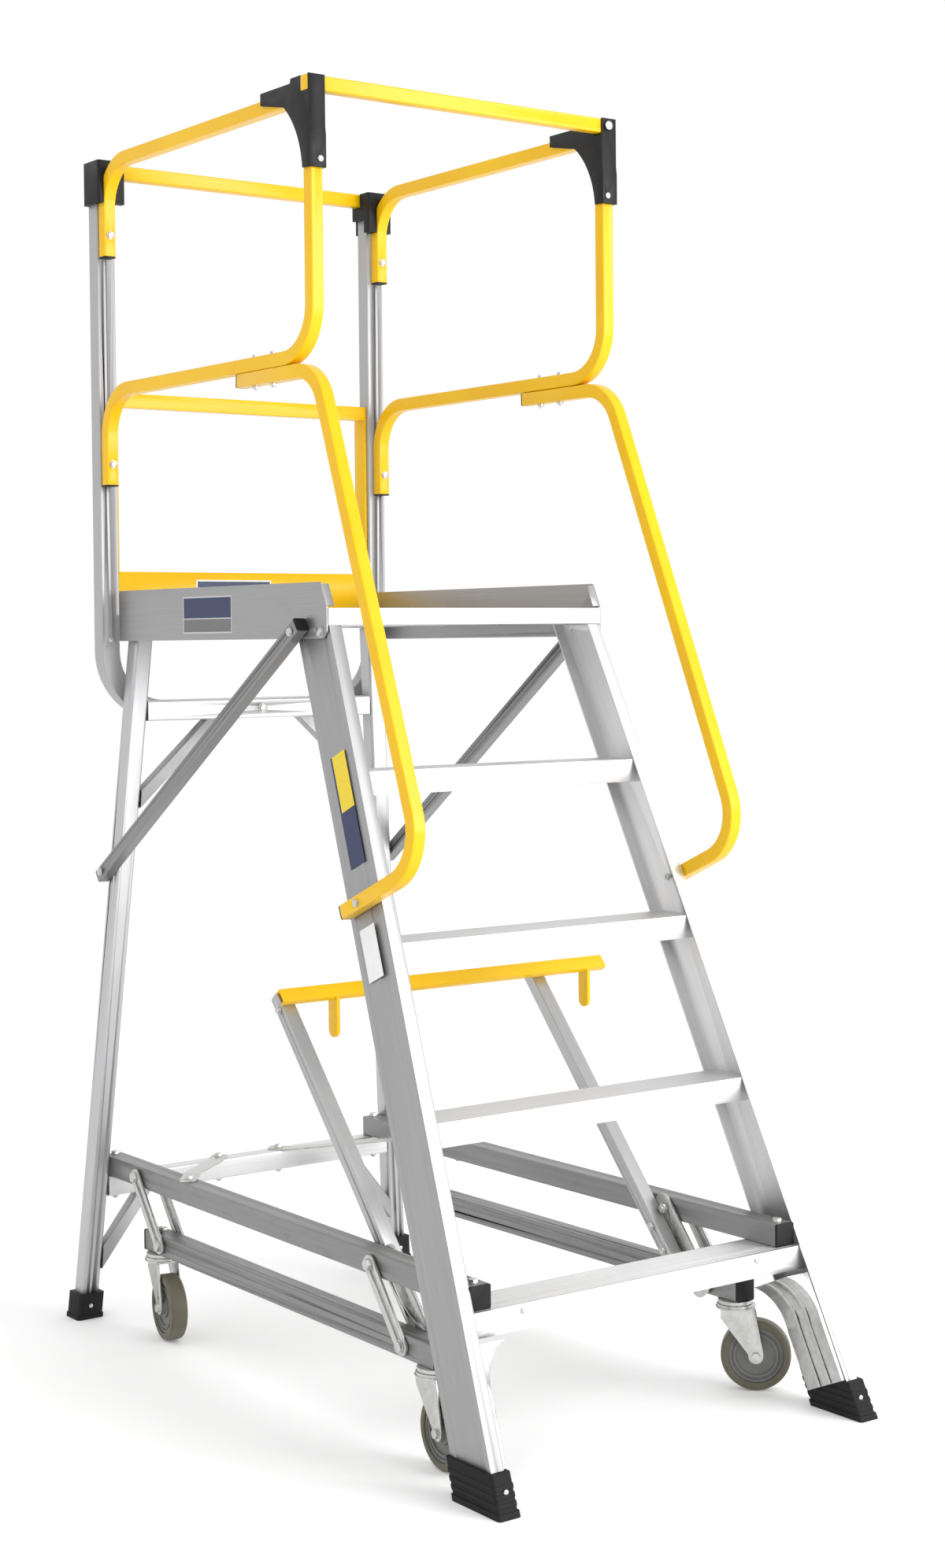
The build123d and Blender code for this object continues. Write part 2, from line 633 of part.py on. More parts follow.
# ---------------------------------------------------------------- gate and front brackets
with BuildPart() as bracket_shape:
    with BuildSketch(across(306.5)) as face:
        with BuildLine():
            Polyline((-5, 2156), (-30, 2155), (-30, 2211), (-27.9, 2226), (-27.9, 2314), (30, 2314),
                     (32, 2306), (130, 2306), (130, 2285), (54, 2269))
            ThreePointArc((54, 2269), (14, 2220), (-5, 2156))
        make_face()
    extrude(face.sketch, amount=33.5)
    add(loop_sheath.part, mode=Mode.SUBTRACT)
    add(frame_rivets.part, mode=Mode.SUBTRACT)
with BuildPart() as corner_bracket_right:
    add(bracket_shape.part)
    block(300, 334.5, GATE_Y0 - 0.3, GATE_Y1 + 0.3, 2284, 2330, mode=Mode.SUBTRACT)
    disc(facing(0), GATE_PIVOT_X, GATE_PIVOT_Z, 4.0, 40, mode=Mode.SUBTRACT)
    disc(facing(14), GATE_PIVOT_X, GATE_PIVOT_Z, 4.0, 40, mode=Mode.SUBTRACT)
save(corner_bracket_right, "corner_bracket_right")
with BuildPart() as corner_bracket_left:
    mirror(bracket_shape.part, about=CENTRE)
    block(-345, -300, GATE_Y0 - 0.3, GATE_Y1 + 0.3, 2286.7, 2330, mode=Mode.SUBTRACT)
save(corner_bracket_left, "corner_bracket_left")

with BuildPart() as gate_bar:
    with BuildSketch(facing(GATE_Y1)) as face:
        length = GATE_PIVOT_X - GATE_END
        with Locations(((GATE_PIVOT_X + GATE_END) / 2, GATE_PIVOT_Z)):
            Rectangle(length, GATE_TALL)
        with Locations((GATE_PIVOT_X, GATE_PIVOT_Z)):
            Circle(GATE_TALL / 2)
            Circle(4.06, mode=Mode.SUBTRACT)
    extrude(face.sketch, amount=GATE_Y1 - GATE_Y0)
    long_edges = gate_bar.edges().filter_by(Axis.X)
    fillet(long_edges, 2.5)
save(gate_bar, "gate_bar")


# ---------------------------------------------------------------- handrails
def handrail_path():
    """Centre line of a stair handrail, lying in a plane that splays outward below."""
    flat = Plane(origin=at(LOOP_X + 0.5, 0, LOOP_MID - 25.5), x_dir=(0, 1, 0), z_dir=(1, 0, 0.0274))
    drop = LOOP_MID - 25.5
    with BuildLine(flat) as line:
        FilletPolyline((230, 0), (-23, 0), (-357, 982 - drop), (-132, 885 - drop), radius=88)
    return line.wires()[0]


with BuildPart() as handrail_right:
    tube_along(handrail_path(), TUBE, TUBE, WALL, 3.0, (1, 0, 0.0274))
    add(frame_bolts.part, mode=Mode.SUBTRACT)
handrail_left = mirrored(handrail_right)
save(handrail_right, "handrail_right")
save(handrail_left, "handrail_left")


# ---------------------------------------------------------------- castor rails
def rail(y0, y1, z, holes):
    """A square rail following the castor line on the right side."""
    start = at(rail_x(y0), y0, z)
    end = at(rail_x(y1), y1, z)
    tube_along(Edge.make_line(start, end), RAIL, RAIL, RAIL_WALL, 2.5, (1, 0, 0))
    for y in holes:
        disc(across(rail_x(y) - 40), y, z, PIN_R, 80, mode=Mode.SUBTRACT)


with BuildPart() as fixed_rail_right:
    rail(RAIL_FRONT, RAIL_BACK, RAIL_Z + 0.1, ())
    add(frame_bolts.part, mode=Mode.SUBTRACT)
fixed_rail_left = mirrored(fixed_rail_right)
save(fixed_rail_right, "fixed_rail_right")
save(fixed_rail_left, "fixed_rail_left")

with BuildPart() as castor_rail_right:
    rail(CARRIER_FRONT, CARRIER_BACK, LOWER_Z, (PIVOT_FRONT + LOWER_DY, PIVOT_BACK + LOWER_DY))
    for y in (STEM_FRONT, STEM_BACK):
        disc(level(LOWER_Z - 40), rail_x(y), y, PIN_R, 80, mode=Mode.SUBTRACT)
castor_rail_left = mirrored(castor_rail_right)
save(castor_rail_right, "castor_rail_right")
save(castor_rail_left, "castor_rail_left")


def rail_cap(y, z, way):
    """Plastic end plug: a flange over the tube end and a body inside it."""
    x = rail_x(y)
    with BuildSketch(Plane(origin=at(x, y, z), x_dir=(1, 0, 0), z_dir=(0, way, 0))) as flange:
        RectangleRounded(RAIL, RAIL, 3)
    extrude(flange.sketch, amount=5)
    with BuildSketch(Plane(origin=at(x, y, z), x_dir=(1, 0, 0), z_dir=(0, way, 0))) as body:
        RectangleRounded(RAIL - 6.4, RAIL - 6.4, 1)
    extrude(body.sketch, amount=-12)


def tube_cap(origin, z_dir, x_dir, size=TUBE, wall=WALL):
    """Plastic plug in the end of a guard tube."""
    end = Plane(origin=origin, x_dir=x_dir, z_dir=z_dir)
    with BuildSketch(end.offset(0.05)) as flange:
        RectangleRounded(size, size, 3)
    extrude(flange.sketch, amount=3)
    with BuildSketch(end.offset(0.05)) as body:
        RectangleRounded(size - 2 * wall - 0.6, size - 2 * wall - 0.6, 2)
    extrude(body.sketch, amount=-10)


with BuildPart() as caps_right:
    rail_cap(RAIL_FRONT - 0.4, RAIL_Z + 0.1, -1)
    tube_cap(at(LOOP_X, LOOP_BACK, 2103), (0, 0, -1), (1, 0, 0))
    tube_cap(at(LOOP_X, LOOP_BACK, 1655), (0, 0, -1), (1, 0, 0))
    tube_cap(brace_start, -brace_dir, (1, 0, 0), wall=2.0)
    hand = handrail_path()
    tube_cap(hand @ 0, (0, 1, 0), (1, 0, 0.0274))
    tube_cap(hand @ 1, hand % 1, (1, 0, 0.0274))
    block(280, 305.6, -10, 760, 1340, 1450, mode=Mode.SUBTRACT)
with BuildPart() as end_plugs:
    add(caps_right.part)
    mirror(caps_right.part, about=CENTRE)
save(end_plugs, "end_plugs")

with BuildPart() as castor_rail_cap_right:
    rail_cap(CARRIER_FRONT - 0.4, LOWER_Z, -1)
    rail_cap(CARRIER_BACK + 0.4, LOWER_Z, 1)
castor_rail_cap_left = mirrored(castor_rail_cap_right)
save(castor_rail_cap_right, "castor_rail_caps_right")
save(castor_rail_cap_left, "castor_rail_caps_left")

with BuildPart() as carrier_hardware_right:
    for y in (STEM_FRONT, STEM_BACK):
        x = rail_x(y)
        under = LOWER_Z - RAIL / 2
        disc(level(under - 6.6), x, y, 31, 6.6)
        disc(level(CROWN_BOTTOM - 7), x, y, PIN_R, LOWER_Z + 28 - CROWN_BOTTOM + 7)
        disc(level(CROWN_BOTTOM - 7), x, y, 9, 6.6)
        with BuildSketch(level(LOWER_Z + RAIL / 2)) as nut:
            with Locations((x, y)):
                RegularPolygon(10, 6)
        extrude(nut.sketch, amount=7)
    y = PIVOT_FRONT + LOWER_DY
    bolt(across(OUTER_LINK_FRONT + LINK_THICK + 0.3), y, LOWER_Z,
         OUTER_LINK_FRONT + LINK_THICK + 0.3 - INNER_LINK_FRONT + 0.3,
         head_r=10, shank_r=PIN_R, nut_r=9.5, nut_t=7)
    y = PIVOT_BACK + LOWER_DY
    bolt(across(OUTER_LINK_BACK + LINK_THICK + 0.3), y, LOWER_Z,
         OUTER_LINK_BACK + LINK_THICK + 0.3 - INNER_LINK_BACK + 0.3,
         head_r=10, shank_r=PIN_R, nut_r=9.5, nut_t=7)
carrier_hardware_left = mirrored(carrier_hardware_right)
save(carrier_hardware_right, "castor_rail_hardware_right")
save(carrier_hardware_left, "castor_rail_hardware_left")


# ---------------------------------------------------------------- links and lever
def link(x, pivot_y):
    """A flat link with rounded ends between an upper and a lower pin."""
    lower = (pivot_y + LOWER_DY, LOWER_Z)
    mid = ((pivot_y * 2 + LOWER_DY) / 2, (RAIL_Z + LOWER_Z) / 2)
    with BuildSketch(across(x)) as face:
        with Locations(Location((mid[0], mid[1], 0), (0, 0, 90 - LINK_ANGLE))):
            SlotCenterToCenter(LINK, LINK_WIDE)
        with Locations((pivot_y, RAIL_Z), lower):
            Circle(PIN_R + PIN_CLEAR, mode=Mode.SUBTRACT)
    extrude(face.sketch, amount=LINK_THICK)


with BuildPart() as rear_links_right:
    link(OUTER_LINK_BACK, PIVOT_BACK)
    link(INNER_LINK_BACK, PIVOT_BACK)
rear_links_left = mirrored(rear_links_right)
save(rear_links_right, "rear_links_right")
save(rear_links_left, "rear_links_left")


def arm_plane(x):
    """Plane facing +X with its local x running up the lever arm from the pivot."""
    up = (0, sin(radians(ARM_ANGLE)), cos(radians(ARM_ANGLE)))
    return Plane(origin=at(x, PIVOT_FRONT, RAIL_Z), x_dir=up, z_dir=(1, 0, 0))


with BuildPart() as lever_bolts:
    for side in (1, -1):
        head = arm_plane(0)
        inward = Plane(origin=head.origin, x_dir=head.x_dir, z_dir=(-side, 0, 0))
        bolt(inward.offset(-ARM_X0), -70, side * (ARM_BEHIND + ARM_DEEP / 2),
             INNER_LINK_FRONT + LINK_THICK - ARM_X0, head_r=6.5, head_t=4, shank_r=3)
        bolt(inward.offset(-ARM_X0), -20, side * (ARM_BEHIND + ARM_DEEP / 2),
             INNER_LINK_FRONT + LINK_THICK - ARM_X0, head_r=6.5, head_t=4, shank_r=3)
    for side in (1, -1):
        outward = Plane(origin=head.origin, x_dir=head.x_dir, z_dir=(side, 0, 0))
        bolt(outward.offset(ARM_X1), ARM_TOP - 30, -side * (ARM_BEHIND + ARM_DEEP / 2),
             12, head_r=7, head_t=4, shank_r=3)

with BuildPart() as links_right:
    link(OUTER_LINK_FRONT, PIVOT_FRONT)
    turn = radians(ARM_ANGLE - LINK_ANGLE)
    with BuildSketch(arm_plane(INNER_LINK_FRONT)) as face:
        with Locations((-73, -8.5)):
            RectangleRounded(202, 53, 20)
        with Locations((0, 0), (-LINK * cos(turn), -LINK * sin(turn))):
            Circle(PIN_R + PIN_CLEAR, mode=Mode.SUBTRACT)
    extrude(face.sketch, amount=LINK_THICK)
    add(lever_bolts.part, mode=Mode.SUBTRACT)
with BuildPart() as lever_links:
    add(links_right.part)
    mirror(links_right.part, about=CENTRE)
save(lever_links, "lever_links")

with BuildPart() as arm_right:
    run = ARM_TOP - ARM_FOOT
    with BuildSketch(arm_plane(ARM_X0)) as face:
        with Locations((ARM_FOOT + run / 2, -ARM_BEHIND - ARM_DEEP / 2)):
            Rectangle(run, ARM_DEEP)
    extrude(face.sketch, amount=ARM_X1 - ARM_X0)
    fillet(arm_right.edges().filter_by(lambda e: e.length > 600), 2.5)
    with BuildSketch(arm_plane(ARM_X0 + 2)) as hollow:
        with Locations((ARM_FOOT + run / 2, -ARM_BEHIND - ARM_DEEP / 2)):
            Rectangle(run + 4, ARM_DEEP - 4)
    extrude(hollow.sketch, amount=ARM_X1 - ARM_X0 - 4, mode=Mode.SUBTRACT)
    add(lever_bolts.part, mode=Mode.SUBTRACT)
with BuildPart() as lever_arms:
    add(arm_right.part)
    mirror(arm_right.part, about=CENTRE)
save(lever_arms, "lever_arms")
save(lever_bolts, "lever_bolts")

with BuildPart() as lever_handle:
    with BuildSketch(arm_plane(HANDLE_LEFT)) as section:
        top = ARM_TOP - 2
        with BuildLine():
            Polyline((top, -ARM_BEHIND + 0.1), (top, 2), (top - 27, 2), (top - 27, -ARM_BEHIND + 0.1),
                     (top - 24, -ARM_BEHIND + 0.1), (top - 24, -1), (top - 3, -1),
                     (top - 3, -ARM_BEHIND + 0.1), close=True)
        make_face()
    extrude(section.sketch, amount=HANDLE_RIGHT - HANDLE_LEFT)
    tab_y = PIVOT_FRONT + (ARM_TOP - 15) * sin(radians(ARM_ANGLE)) + 6
    tab_z = RAIL_Z + (ARM_TOP - 15) * cos(radians(ARM_ANGLE)) - 10
    for x in (-186.5, 399.5):
        with BuildSketch(across(x)) as tab:
            with Locations(Location((tab_y, tab_z - 31.5, 0), (0, 0, 90))):
                SlotOverall(91, 28)
        extrude(tab.sketch, amount=7)
    cut = arm_plane(-320)
    with BuildSketch(cut) as trim:
        with Locations((ARM_TOP, 30)):
            Rectangle(90, 60 - 4)
    extrude(trim.sketch, amount=800, mode=Mode.SUBTRACT)
save(lever_handle, "lever_handle")


# ---------------------------------------------------------------- castors
def castor(x, y, heading, name):
    """Fork, hub and tyre of one castor, the wheel trailing along a heading."""
    centre = at(x, y, 0)
    along = Vector(cos(radians(heading)), sin(radians(heading)), 0)
    flat = Plane(origin=centre, x_dir=along, z_dir=(0, 0, 1))
    side = Plane(origin=centre, x_dir=along, z_dir=along.cross(Vector(0, 0, 1)))
    out = FORK_GAP + FORK_WALL
    with BuildPart() as fork:
        with BuildSketch(flat.offset(CROWN_BOTTOM)) as crown:
            Circle(CROWN_R)
            with Locations((4, 0)):
                RectangleRounded(64, 2 * out, 6)
        extrude(crown.sketch, amount=3)
        with BuildSketch(flat.offset(CROWN_BOTTOM + 3)) as race:
            Circle(CROWN_R - 2)
        extrude(race.sketch, amount=CROWN_TOP - CROWN_BOTTOM - 3)
        for way in (1, -1):
            base = FORK_GAP if way > 0 else -FORK_GAP - FORK_WALL
            with BuildSketch(side.offset(base)) as leg:
                with BuildLine():
                    Polyline((-26, CROWN_BOTTOM + 2), (34, CROWN_BOTTOM + 2), (TRAIL + 13, AXLE_Z + 6),
                             (TRAIL + 13, AXLE_Z), (TRAIL - 13, AXLE_Z), (TRAIL - 14, AXLE_Z + 4),
                             (-26, CROWN_BOTTOM - 16), close=True)
                make_face()
                with Locations((TRAIL, AXLE_Z)):
                    Circle(13)
            extrude(leg.sketch, amount=FORK_WALL)
        with BuildSketch(side.offset(-out)) as axle:
            with Locations((TRAIL, AXLE_Z)):
                Circle(AXLE_R)
        extrude(axle.sketch, amount=2 * out)
        for way in (1, -1):
            end = side.offset(out) if way > 0 else side.offset(-out)
            with BuildSketch(end) as nut:
                with Locations((TRAIL, AXLE_Z)):
                    RegularPolygon(8.5, 6)
            extrude(nut.sketch, amount=way * 6)
        with BuildSketch(flat.offset(CROWN_BOTTOM - 2)) as bore:
            Circle(PIN_R + PIN_CLEAR)
        extrude(bore.sketch, amount=20, mode=Mode.SUBTRACT)
    save(fork, "castor_fork_" + name)
    with BuildPart() as hub:
        with BuildSketch(side.offset(-13)) as body:
            with Locations((TRAIL, AXLE_Z)):
                Circle(HUB_R)
        extrude(body.sketch, amount=26)
        with BuildSketch(side.offset(-FORK_GAP + 0.6)) as boss:
            with Locations((TRAIL, AXLE_Z)):
                Circle(14)
        extrude(boss.sketch, amount=2 * FORK_GAP - 1.2)
        for way in (1, -1):
            with BuildSketch(side.offset(way * 13)) as ring:
                with Locations((TRAIL, AXLE_Z)):
                    Circle(44)
                    Circle(40, mode=Mode.SUBTRACT)
            extrude(ring.sketch, amount=-way * 3, mode=Mode.SUBTRACT)
            with BuildSketch(side.offset(way * 13)) as dish:
                with Locations((TRAIL, AXLE_Z)):
                    Circle(36)
                    Circle(20, mode=Mode.SUBTRACT)
            extrude(dish.sketch, amount=-way * 4, mode=Mode.SUBTRACT)
        with BuildSketch(side.offset(-30)) as bore:
            with Locations((TRAIL, AXLE_Z)):
                Circle(AXLE_R + PIN_CLEAR)
        extrude(bore.sketch, amount=60, mode=Mode.SUBTRACT)
    save(hub, "castor_hub_" + name)
    with BuildPart() as tyre:
        with BuildSketch(side.offset(-TYRE_WIDE / 2)) as tread_ring:
            with Locations((TRAIL, AXLE_Z)):
                Circle(WHEEL_R)
        extrude(tread_ring.sketch, amount=TYRE_WIDE)
        fillet(tyre.edges(), 5)
        with BuildSketch(side.offset(-TYRE_WIDE)) as seat:
            with Locations((TRAIL, AXLE_Z)):
                Circle(HUB_R)
        extrude(seat.sketch, amount=2 * TYRE_WIDE, mode=Mode.SUBTRACT)
    save(tyre, "castor_tyre_" + name)


castor(rail_x(STEM_FRONT), STEM_FRONT, -42.7, "front_right")
castor(-rail_x(STEM_FRONT), STEM_FRONT, -92.9, "front_left")
castor(rail_x(STEM_BACK), STEM_BACK, -90.0, "rear_right")
castor(-rail_x(STEM_BACK), STEM_BACK, -99.8, "rear_left")

# ---------------------------------------------------------------- remaining fasteners
with BuildPart() as all_bolts:
    add(frame_bolts.part)
    disc(facing(10), GATE_PIVOT_X, GATE_PIVOT_Z, 4.0, 40.5)
    disc(facing(-30.5), GATE_PIVOT_X, GATE_PIVOT_Z, 8.0, 3.0)
save(all_bolts, "frame_bolts")
save(frame_rivets, "frame_rivets")
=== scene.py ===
import json
import math

import bpy
from mathutils import Matrix, Vector


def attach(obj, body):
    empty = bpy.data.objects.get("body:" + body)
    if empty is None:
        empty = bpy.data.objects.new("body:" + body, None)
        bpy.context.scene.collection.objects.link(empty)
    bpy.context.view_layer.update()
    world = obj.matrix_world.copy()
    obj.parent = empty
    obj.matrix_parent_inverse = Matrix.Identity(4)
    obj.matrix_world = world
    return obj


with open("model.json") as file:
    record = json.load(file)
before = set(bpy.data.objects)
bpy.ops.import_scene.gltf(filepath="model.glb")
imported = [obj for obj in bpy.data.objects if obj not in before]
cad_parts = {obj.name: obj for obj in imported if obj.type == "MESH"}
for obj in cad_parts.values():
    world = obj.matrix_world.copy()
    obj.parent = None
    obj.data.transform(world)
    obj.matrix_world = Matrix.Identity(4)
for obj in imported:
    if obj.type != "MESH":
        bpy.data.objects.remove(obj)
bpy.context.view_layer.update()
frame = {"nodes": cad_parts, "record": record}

NODES = frame["nodes"]
# the ladder's centre line and stile plane in the row frame, in metres
CAD_X, CAD_Y = -0.01875, -0.10045
# run per unit of rise: stiles back and inward, rear legs inward and forward
LEAN, SPLAY = 0.439, 0.071
LEG_SPLAY, LEG_LEAN = 0.074, 0.063
WHITE = (1, 1, 1, 1)

# ---------------------------------------------------------------- materials


def new_material(name):
    """A node material, its node tree and its shader."""
    mat = bpy.data.materials.new(name)
    mat.use_nodes = True
    tree = mat.node_tree
    shader = tree.nodes["Principled BSDF"]
    return mat, tree, shader


def add(tree, kind, **values):
    """A node with its properties set by name."""
    node = tree.nodes.new(kind)
    for key, value in values.items():
        setattr(node, key, value)
    return node


def aligned_coords(tree, direction, scale):
    """Object coordinates turned so that direction is Z, then scaled."""
    coords = add(tree, "ShaderNodeTexCoord")
    turn = add(tree, "ShaderNodeMapping")
    turn.inputs["Rotation"].default_value = Vector(direction).normalized().rotation_difference(
        Vector((0, 0, 1))).to_euler()
    size = add(tree, "ShaderNodeMapping")
    size.inputs["Scale"].default_value = scale
    tree.links.new(coords.outputs["Object"], turn.inputs["Vector"])
    tree.links.new(turn.outputs["Vector"], size.inputs["Vector"])
    return size.outputs["Vector"]


def noise(tree, vector, scale, detail=4.0, rough=0.55):
    """A noise texture read at a vector."""
    node = add(tree, "ShaderNodeTexNoise")
    node.inputs["Scale"].default_value = scale
    node.inputs["Detail"].default_value = detail
    node.inputs["Roughness"].default_value = rough
    tree.links.new(vector, node.inputs["Vector"])
    return node.outputs["Fac"]


def ranged(tree, value, low, high, to_low, to_high):
    """A value mapped from one range to another, clamped."""
    node = add(tree, "ShaderNodeMapRange")
    limits = {"From Min": low, "From Max": high, "To Min": to_low, "To Max": to_high}
    for key, number in limits.items():
        node.inputs[key].default_value = number
    tree.links.new(value, node.inputs["Value"])
    return node.outputs["Result"]


# the mix node's colour sockets, by index, because its float and vector sockets share their names
MIX_FACTOR, MIX_A, MIX_B, MIX_RESULT = 0, 6, 7, 2


def mixed(tree, factor, first, second):
    """Two colours mixed by a factor; each may be a colour or a socket."""
    node = add(tree, "ShaderNodeMix", data_type="RGBA")
    tree.links.new(factor, node.inputs[MIX_FACTOR])
    for value, socket in ((first, MIX_A), (second, MIX_B)):
        if isinstance(value, tuple):
            node.inputs[socket].default_value = (*value, 1.0)
        else:
            tree.links.new(value, node.inputs[socket])
    return node.outputs[MIX_RESULT]


def bumped(tree, shader, height, strength, distance):
    """Drives the shader's normal from a height."""
    node = add(tree, "ShaderNodeBump")
    node.inputs["Strength"].default_value = strength
    node.inputs["Distance"].default_value = distance
    tree.links.new(height, node.inputs["Height"])
    tree.links.new(node.outputs["Normal"], shader.inputs["Normal"])


def aluminium(name, direction, base=(0.36, 0.36, 0.365), grime=0.22, sheen=0.85):
    """Mill-finish extrusion: fine lines along its length, cloudy sheen and brown smudges."""
    mat, tree, shader = new_material(name)
    lines = noise(tree, aligned_coords(tree, direction, (900, 900, 6)), 1.0, 3.0)
    cloud = noise(tree, aligned_coords(tree, direction, (14, 14, 2.2)), 1.0, 4.0)
    smudge = noise(tree, aligned_coords(tree, direction, (26, 26, 9)), 1.0, 6.0, 0.65)
    dark = tuple(c * 0.93 for c in base)
    light = tuple(min(c * 1.08, 1.0) for c in base)
    tone = mixed(tree, ranged(tree, lines, 0.3, 0.7, 0, 1), dark, light)
    tone = mixed(tree, ranged(tree, cloud, 0.35, 0.75, 0, 0.35), tone, light)
    stain = (base[0] * 0.62, base[1] * 0.56, base[2] * 0.50)
    tone = mixed(tree, ranged(tree, smudge, 0.58, 0.80, 0, grime), tone, stain)
    tree.links.new(tone, shader.inputs["Base Color"])
    tree.links.new(ranged(tree, cloud, 0.3, 0.7, 0.36, 0.5), shader.inputs["Roughness"])
    shader.inputs["Metallic"].default_value = sheen
    bumped(tree, shader, lines, 0.12, 0.0004)
    return mat


def powder(name, base=(0.82, 0.47, 0.004)):
    """Satin powder coat with a faint orange peel."""
    mat, tree, shader = new_material(name)
    where = aligned_coords(tree, (0, 0, 1), (1, 1, 1))
    peel = noise(tree, where, 420.0, 2.0)
    cloud = noise(tree, where, 6.0, 3.0)
    warmer = (base[0] * 1.04, base[1] * 1.10, base[2])
    tone = mixed(tree, ranged(tree, cloud, 0.35, 0.7, 0, 1), base, warmer)
    tree.links.new(tone, shader.inputs["Base Color"])
    tree.links.new(ranged(tree, cloud, 0.3, 0.7, 0.22, 0.32), shader.inputs["Roughness"])
    shader.inputs["Specular IOR Level"].default_value = 0.28
    bumped(tree, shader, peel, 0.06, 0.0005)
    return mat


def moulded(name, base, rough=0.45, grain=700.0, bump=0.12):
    """Moulded plastic or rubber with a fine grain and dull patches."""
    mat, tree, shader = new_material(name)
    where = aligned_coords(tree, (0, 0, 1), (1, 1, 1))
    fine = noise(tree, where, grain, 2.0)
    cloud = noise(tree, where, 18.0, 5.0)
    lighter = tuple(c * 1.5 + 0.01 for c in base)
    tone = mixed(tree, ranged(tree, cloud, 0.45, 0.8, 0, 0.6), base, lighter)
    tree.links.new(tone, shader.inputs["Base Color"])
    tree.links.new(ranged(tree, cloud, 0.3, 0.7, rough - 0.08, rough + 0.12), shader.inputs["Roughness"])
    shader.inputs["Specular IOR Level"].default_value = 0.2
    bumped(tree, shader, fine, bump, 0.0006)
    return mat


def zinc(name, base=(0.52, 0.52, 0.50)):
    """Bright zinc plate with faint spangle and yellowish bloom."""
    mat, tree, shader = new_material(name)
    where = aligned_coords(tree, (0, 0, 1), (1, 1, 1))
    spangle = noise(tree, where, 90.0, 4.0)
    cloud = noise(tree, where, 20.0, 4.0)
    tone = mixed(tree, ranged(tree, spangle, 0.35, 0.7, 0, 1), base, tuple(c * 1.25 for c in base))
    tone = mixed(tree, ranged(tree, cloud, 0.55, 0.85, 0, 0.4), tone, (0.42, 0.39, 0.30))
    tree.links.new(tone, shader.inputs["Base Color"])
    tree.links.new(ranged(tree, spangle, 0.3, 0.7, 0.26, 0.42), shader.inputs["Roughness"])
    shader.inputs["Metallic"].default_value = 0.85
    bumped(tree, shader, spangle, 0.08, 0.0004)
    return mat


STILE_R, STILE_L = (-SPLAY, LEAN, 1), (SPLAY, LEAN, 1)
LEG_R, LEG_L = (-LEG_SPLAY, -LEG_LEAN, 1), (LEG_SPLAY, -LEG_LEAN, 1)
ALONG_BRACE, ALONG_ARM = (0, 678, -469), (0, 0.656, 0.755)
ALONG_X, ALONG_Y, ALONG_Z = (1, 0, 0), (0, 1, 0), (0, 0, 1)
looks = {
    # right stile: lighter base (0.72) than the left stile (0.36) of the same extrusion, a lit copy that
    # paints light onto its brightly lit front flange
    "stile_right": aluminium("alu_stile_right_painted_light", STILE_R, base=(0.72, 0.72, 0.725)),
    "stile_left": aluminium("alu_stile_left", STILE_L),
    # rear legs: lighter base (0.52) than the default 0.36, a lit copy that paints light onto their brightly
    # lit outer faces
    "rear_leg_right": aluminium("alu_leg_right_painted_light", LEG_R, base=(0.52, 0.52, 0.53)),
    "rear_leg_left": aluminium("alu_leg_left_painted_light", LEG_L, base=(0.52, 0.52, 0.53)),
    "rear_uframe": aluminium("alu_post", ALONG_Z, base=(0.40, 0.40, 0.405), sheen=0.35),
    "side_braces": aluminium("alu_brace", ALONG_BRACE, base=(0.27, 0.27, 0.27)),
    "lever_arms": aluminium("alu_arm", ALONG_ARM, base=(0.48, 0.48, 0.48)),
}
# treads and the other parts running across: near-white base (0.74), a lit copy of the same aluminium that
# paints light onto their brightly lit front faces
alu_across_painted_light = aluminium("alu_across_painted_light", ALONG_X, base=(0.74, 0.74, 0.745), grime=0.10)
alu_deep = aluminium("alu_side", ALONG_Y)
alu_rail = aluminium("alu_rail", ALONG_Y, base=(0.27, 0.27, 0.27), grime=0.75)
yellow = powder("yellow_powder_coat")
black = moulded("black_moulding", (0.012, 0.012, 0.013))
rubber = moulded("black_rubber", (0.010, 0.010, 0.011), rough=0.6, grain=420.0, bump=0.3)
plated = zinc("zinc_plate")
pressed = zinc("pressed_zinc", base=(0.46, 0.46, 0.45))
hub_grey = moulded("hub_grey", (0.16, 0.16, 0.155), rough=0.38)
tyre_mat = moulded("tyre_polyurethane", (0.115, 0.108, 0.078), rough=0.42, grain=300.0)
by_slot = {"yellow_coat": yellow, "black_plastic": black, "rubber": rubber, "zinc": plated,
           "hub": hub_grey, "tyre": tyre_mat}
slots = {entry["node"]: entry["material_slot"] for entry in frame["record"]["subparts"]}


def look_of(name):
    """The material of a CAD node, by its name and slot."""
    if name in looks:
        return looks[name]
    if slots[name] != "aluminium":
        return pressed if name == "knee_braces" else by_slot[slots[name]]
    if "rail" in name:
        return alu_rail
    return alu_deep if name.startswith("side_plate") or name == "leg_gussets" else alu_across_painted_light


# ---------------------------------------------------------------- CAD nodes
SHARP = math.radians(32)
SOFT_EDGE = 0.0005
WELD_GAP = 0.00002
for name, node in NODES.items():
    material = look_of(name)
    if not node.material_slots:
        node.data.materials.append(material)
    for slot in node.material_slots:
        slot.material = material
    node.data.shade_smooth()
    weld = node.modifiers.new("weld", "WELD")
    weld.merge_threshold = WELD_GAP
    soft = node.modifiers.new("soft_edges", "BEVEL")
    soft.width = SOFT_EDGE
    soft.segments = 2
    soft.limit_method = "ANGLE"
    soft.angle_limit = SHARP
    soft.harden_normals = True
    soft.use_clamp_overlap = True


# ---------------------------------------------------------------- blank label plates
PLATE_THICK = 0.0002
# height of a plate's underside above the plane of its origin, in metres
BACKING_LIFT, FIELD_LIFT, STILE_LIFT, TAG_LIFT = 0.00005, 0.0002, 0.0003, 0.0012


def place(x, y, z):
    """Row-frame position, in metres, of a point given in millimetres from the ladder's own lines."""
    return Vector((x / 1000 + CAD_X, y / 1000 + CAD_Y, z / 1000))


